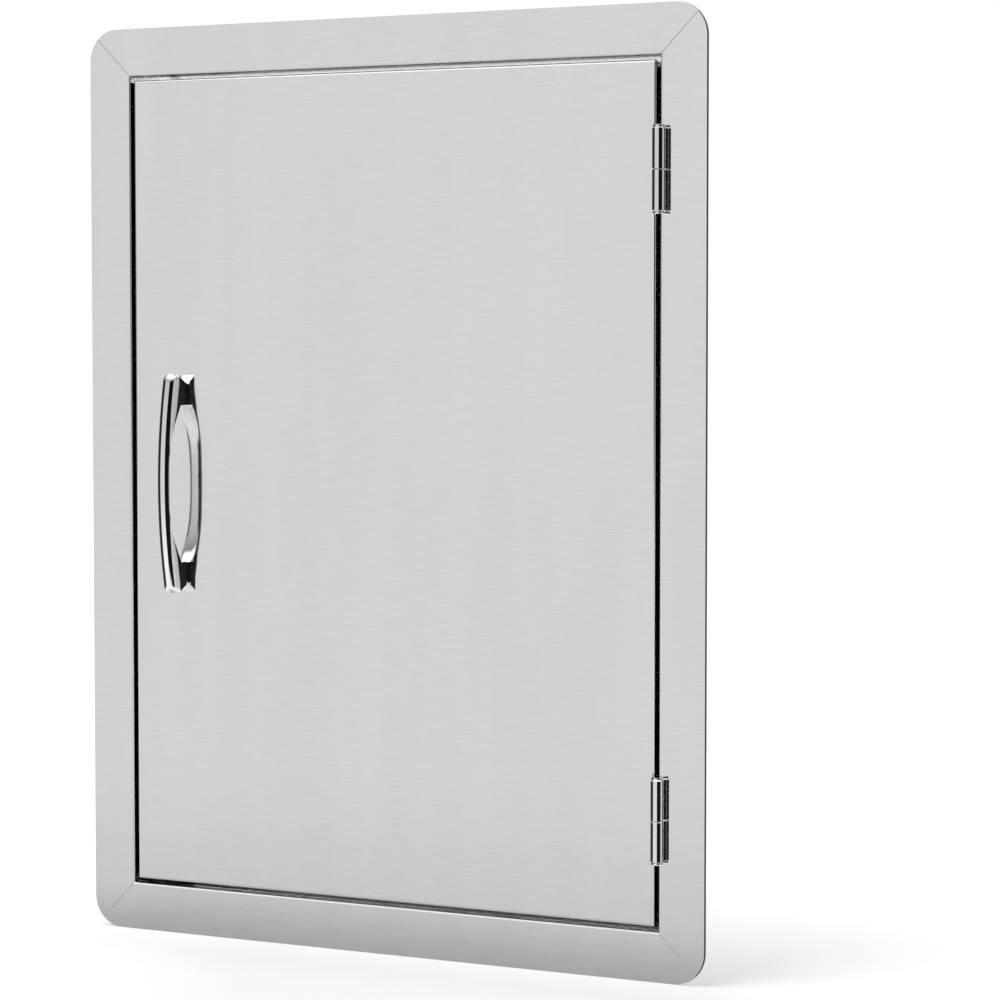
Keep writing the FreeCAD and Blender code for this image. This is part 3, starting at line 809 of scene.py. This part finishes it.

# %% [markdown]
# ## Floor
#
# The door stands on a plain pale floor. To the camera the floor is white where it is fully lit and a soft grey in the
# object's shadow, so it is a diffuse surface with some light of its own. That light is painted weaker close to the
# object, and weaker again before the frame as a painted shadow for the tent's rear wall, which the frame would hide
# from the floor there. Satin sheet sees the floor a little darker close to the object, a painted shade in the floor's
# reflection, which gives the foot of the frame its darker tone. Polished metal looks through the floor at the tent.

# %% Floor
floor_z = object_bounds()[0].z
# Painted shade on the floor: how far the glow stays weaker round the object, how dark metal sees the floor by
# distance, and the reach and depth of the painted shadow before the frame.
contact_shade_reach, reflected_floor_shade = 0.12, ((0.0, 0.58), (0.05, 0.66), (0.13, 0.82), (0.18, 0.885), (0.3, 0.92), (0.5, 0.97),
                               (0.8, 1.0))
painted_shadow_reach, painted_shadow_depth = 1.1, 0.17


def painted_shadow_in_front(tree):
    """The painted shadow before the frame: how much less the floor glows there, between slanting lines from its two
    sides.
    """
    place = add(tree, "ShaderNodeSeparateXYZ", {0: tree.nodes.new("ShaderNodeTexCoord").outputs["Object"]})
    slant = calculate(tree, "ADD", place.outputs["X"], calculate(tree, "MULTIPLY", place.outputs["Y"], 0.53))
    before = between(tree, place.outputs["Y"], 0.03, -0.05)
    across = calculate(tree, "MULTIPLY", between(tree, slant, -0.29, -0.1), between(tree, slant, 0.36, 0.22))
    close = between(tree, distance_from_object(tree), 0.0, painted_shadow_reach, painted_shadow_depth, 0.0)
    return calculate(tree, "MULTIPLY", calculate(tree, "MULTIPLY", before, across), close)


def floor_material():
    material = bpy.data.materials.new("floor_white")
    material.use_nodes = True
    tree = material.node_tree
    tree.nodes.clear()
    path = tree.nodes.new("ShaderNodeLightPath")
    lit = add(tree, "ShaderNodeBsdfDiffuse", {"Color": grey(0.5)})
    # Painted contact shade: the floor glows less close to the object.
    near = between(tree, distance_from_object(tree), 0.0, contact_shade_reach, 0.5, 0.57)
    glow = add(tree, "ShaderNodeEmission", {
        "Color": grey(1.0), "Strength": calculate(tree, "SUBTRACT", near, painted_shadow_in_front(tree))})
    own = add(tree, "ShaderNodeAddShader", {0: lit.outputs[0], 1: glow.outputs[0]})
    # Painted shade in the reflection: metal sees the floor darker close to the object.
    reflected = add(tree, "ShaderNodeEmission", {"Color": level_ramp(tree, distance_from_object(tree), reflected_floor_shade)})
    through = tree.nodes.new("ShaderNodeBsdfTransparent")
    mirrored = add(tree, "ShaderNodeMixShader", {0: mirror_rays(tree, path), 1: reflected.outputs[0],
                                                 2: through.outputs[0]})
    choice = add(tree, "ShaderNodeMixShader", {0: path.outputs["Is Glossy Ray"], 1: own.outputs[0],
                                               2: mirrored.outputs[0]})
    add(tree, "ShaderNodeOutputMaterial", {"Surface": choice.outputs[0]})
    return material


made = bmesh.new()
bmesh.ops.create_grid(made, x_segments=1, y_segments=1, size=6.0, matrix=Matrix.Translation((0, 0, floor_z)))
floor = bpy.data.objects.new("floor", mesh_of(made, "floor"))
bpy.context.scene.collection.objects.link(floor)
floor.data.materials.append(floor_material())
print("floor at", round(floor_z, 4))

# %% [markdown]
# ## The tent
#
# The room is a white tent, which the camera sees as an even white. Polished metal
# needs contrast to look polished, so dark flags hang at both sides, as a
# photographer would place them: they draw the black and white lines down the
# handle, the barrels and the bends. Satin sheet blurs what it mirrors and sees
# softer flags, and so does the sheet's image in the polished handle.
#
# Each table gives the brightness by the direction on plan, in degrees: 0 is
# straight in front of the door, 90 the hinge side and 180 behind. The last one
# gives it by the height of the direction, from -1 straight down to 1 straight up.

# %% Tables of the tent
flagged = ((-180, 0.9), (-150, 0.5), (-108, 0.3), (-100, 0.05), (-50, 0.03), (-46, 0.97), (-23, 1.03), (21, 1.03),
           (25, 0.01), (90, 0.01), (95, 1.0), (136, 1.0), (141, 0.04), (165, 0.1), (180, 0.9))
in_sheet = ((-180, 0.6), (-104, 0.3), (-98, 0.05), (-50, 0.05), (-45, 1.0), (4, 1.0), (8, 0.02), (44, 0.02),
            (49, 0.75), (110, 0.75), (180, 0.6))
in_satin = ((-180, 0.9), (-150, 0.6), (-108, 0.45), (-50, 0.4), (-46, 0.97), (-23, 1.03), (21, 1.03), (25, 0.01),
            (62, 0.02), (72, 0.45), (150, 0.45), (180, 0.9))
rising = ((-1.0, 0.7), (-0.6, 1.45), (-0.33, 1.45), (-0.1, 1.05), (0.0, 1.0), (0.2, 0.94), (0.47, 0.74), (0.63, 0.4),
          (1.0, 0.4))
rising_scale = 1.5

world = bpy.data.worlds.new("white_tent")
bpy.context.scene.world = world
world.use_nodes = True
tree = world.node_tree
tree.nodes.clear()
path = tree.nodes.new("ShaderNodeLightPath")
bounces = path.outputs["Glossy Depth"]
direction = add(tree, "ShaderNodeSeparateXYZ", {0: tree.nodes.new("ShaderNodeTexCoord").outputs["Generated"]})
x, y, z = direction.outputs
angle = calculate(tree, "ARCTAN2", x, calculate(tree, "MULTIPLY", y, -1.0))
share = calculate(tree, "MULTIPLY_ADD", angle, 1 / math.tau, 0.5)


def tent_sides(levels):
    """Brightness of the tent by the direction on plan."""
    return level_ramp(tree, share, [((degrees + 180) / 360, level) for degrees, level in levels])


print("tent with", len(flagged), "edges of flags for polished metal")

# %% [markdown]
# ## What polished metal sees
#
# The flags end some way up and down, and a bright ceiling whitens whatever leans
# upwards. What reaches the lens over several mirrors in turn has lost light at
# each, which a photographer makes up for with small cards. Here the tent gets
# brighter with the number of bounces instead, and light that has come through the
# gaps, over four bounces or more, is even.

# %% Polished metal
flags_end, ceiling_from, ceiling_level = (0.34, 0.42), (0.64, 0.68), 1.6
first_gain, gain_per_bounce, gap_light = 0.65, 0.58, 4.0

from_sheet = calculate(tree, "MULTIPLY", calculate(tree, "COMPARE", bounces, 2.0, 0.1),
                       calculate(tree, "SUBTRACT", 1.0, path.outputs["Is Singular Ray"]))
sides = mixed(tree, from_sheet, tent_sides(flagged), tent_sides(in_sheet))
rise = level_ramp(tree, calculate(tree, "MULTIPLY_ADD", z, 0.5, 0.5),
                  [((up + 1) / 2, level / rising_scale) for up, level in rising])
past_flags = between(tree, calculate(tree, "ABSOLUTE", z), *flags_end)
wall = mixed(tree, 1.0, mixed(tree, past_flags, sides, grey(1.0)), rise, blend_type="MULTIPLY")
tent = mixed(tree, between(tree, z, *ceiling_from), wall, grey(ceiling_level))
gain = calculate(tree, "MULTIPLY_ADD", calculate(tree, "MINIMUM", bounces, 3.0), gain_per_bounce, first_gain)
in_gap = calculate(tree, "GREATER_THAN", bounces, 3.5)
polished = mixed(tree, in_gap, scaled(tree, tent, gain), grey(gap_light))
print("nodes for polished metal", len(tree.nodes))

# %% [markdown]
# ## What satin sheet, the camera and plain surfaces see
#
# Satin sheet sees its own flags and a ceiling that starts lower and is a little
# dimmer straight up, so that the sleeve's top doesn't burn out. Plain surfaces, such
# as the floor and the rubber, get half of an even white, because the sun gives them
# the rest.

# %% Satin sheet and the whole room
satin_ceiling_from, straight_up, satin_ceiling = (0.28, 0.4), (0.86, 0.95), (1.7, 1.1)
ambient = 0.5

overhead = between(tree, z, *straight_up, *satin_ceiling)
satin = mixed(tree, between(tree, z, *satin_ceiling_from), tent_sides(in_satin), overhead)
around = mixed(tree, path.outputs["Is Glossy Ray"], grey(1.0), satin)
chosen = mixed(tree, mirror_rays(tree, path), around, polished)
seen = calculate(tree, "MAXIMUM", path.outputs["Is Camera Ray"], path.outputs["Is Glossy Ray"])
seen = calculate(tree, "MAXIMUM", seen, path.outputs["Is Transmission Ray"])
room = add(tree, "ShaderNodeBackground", {"Color": chosen, "Strength": between(tree, seen, 0.0, 1.0, ambient, 1.0)})
add(tree, "ShaderNodeOutputWorld", {"Surface": room.outputs[0]})
print("nodes of the whole room", len(tree.nodes))

# %% [markdown]
# ## Sun
#
# A broad sun from the upper left gives the floor its soft shadow. It is wide, as
# a large diffuser is, and metal doesn't see it, because the tent already is what
# metal mirrors.

# %% Sun
sun_data = bpy.data.lights.new("soft_sun", "SUN")
sun_data.energy = 1.8
sun_data.angle = math.radians(30)
sun = bpy.data.objects.new("soft_sun", sun_data)
sun.rotation_mode = "QUATERNION"
sun.rotation_quaternion = Vector((0.25, 0.3, -1.0)).to_track_quat("-Z", "Y")
sun.visible_glossy = False
bpy.context.scene.collection.objects.link(sun)
print("sun of", round(math.degrees(sun_data.angle)), "degrees")
